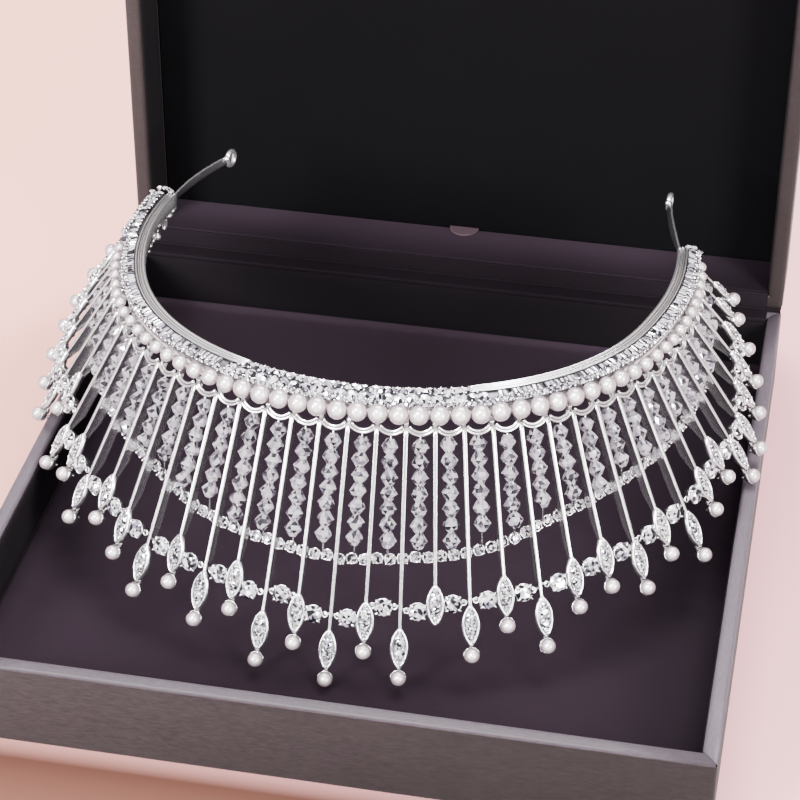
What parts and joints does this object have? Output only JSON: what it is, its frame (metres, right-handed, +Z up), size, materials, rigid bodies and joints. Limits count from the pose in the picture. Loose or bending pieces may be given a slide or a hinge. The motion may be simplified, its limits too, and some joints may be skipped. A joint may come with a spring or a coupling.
{
  "type": "bridal crown in open presentation box",
  "caption": "Curved bridal crown with a flared fringe of spikes, crystal strands, round stones and pearls, lying on velvet in a square presentation box with a hinged lid.",
  "frame": {"origin": "centre of the underside of the box's base", "axes": "+X to the right, across the box; +Y to the back, where the lid is hinged; +Z up; the crown's front faces -Y"},
  "size_m": [0.1638, 0.1769, 0.1789],
  "materials": {
    "box_cover": "satin taupe covering on board, fine brushed grain",
    "lid_cover": "satin taupe covering on board, fine brushed grain",
    "velvet": "dark aubergine velvet",
    "lining": "black satin",
    "tab_cloth": "plum ribbon",
    "silver": "bright silver plate",
    "thread": "white thread",
    "pearl": "cream pearl lustre with a pink tinge",
    "pave": "small clear stones in silver claws",
    "stone": "clear cut stone, silvered behind",
    "crystal": "clear cut glass beads",
    "small_stones": "small clear stones in silver cups"
  },
  "bodies": {
    "base": {"box_base": "box_cover", "velvet_tray": "velvet", "crown_frame": "silver", "pearl_thread": "thread", "band_pearls": "pearl", "band_stones": "pave", "tip_pearls": "pearl", "garland_stones": "stone", "crystal_strands": "crystal", "inner_string": "small_stones"},
    "lid": {"box_lid": "lid_cover", "lid_lining": "lining", "hinge_velvet": "velvet", "lid_tab": "tab_cloth"}
  },
  "joints": [
    {"name": "lid_hinge", "type": "hinge", "parent": "base", "child": "lid", "pos_m": [0, 0.07945, 0.02015], "axis": [1, 0, 0], "range_deg": [0, 35]}
  ]
}
